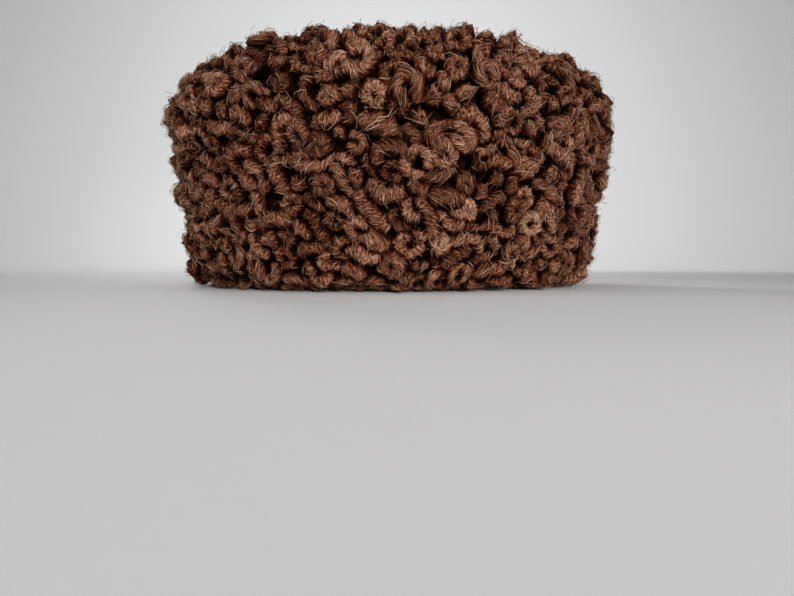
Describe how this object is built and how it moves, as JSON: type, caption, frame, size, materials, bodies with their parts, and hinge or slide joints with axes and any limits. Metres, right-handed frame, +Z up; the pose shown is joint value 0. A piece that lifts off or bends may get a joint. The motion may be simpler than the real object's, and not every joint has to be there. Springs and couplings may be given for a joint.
{
  "type": "turkmen telpek hat",
  "caption": "Round hat of curly sheepskin: flared side wall, closed crown, fleece turned in under the rim and a dark cloth lining. Stands on its rim.",
  "frame": {"origin": "the middle of the rim, on the surface that the hat stands on", "axes": "+Z up through the crown, -Y towards the front of the hat, +X towards the wearer's left; longest from front to back"},
  "size_m": [0.2799, 0.2891, 0.1313],
  "materials": {
    "side_fleece": "matt curly wool in chestnut brown, nearly black between the curls",
    "crown_fleece": "matt curly wool in chestnut brown, nearly black between the curls",
    "lining": "plain blue-black lining cloth with a soft sheen"
  },
  "bodies": {
    "root": {"side_fleece": "side_fleece", "crown_fleece": "crown_fleece", "lining": "lining"}
  },
  "joints": []
}
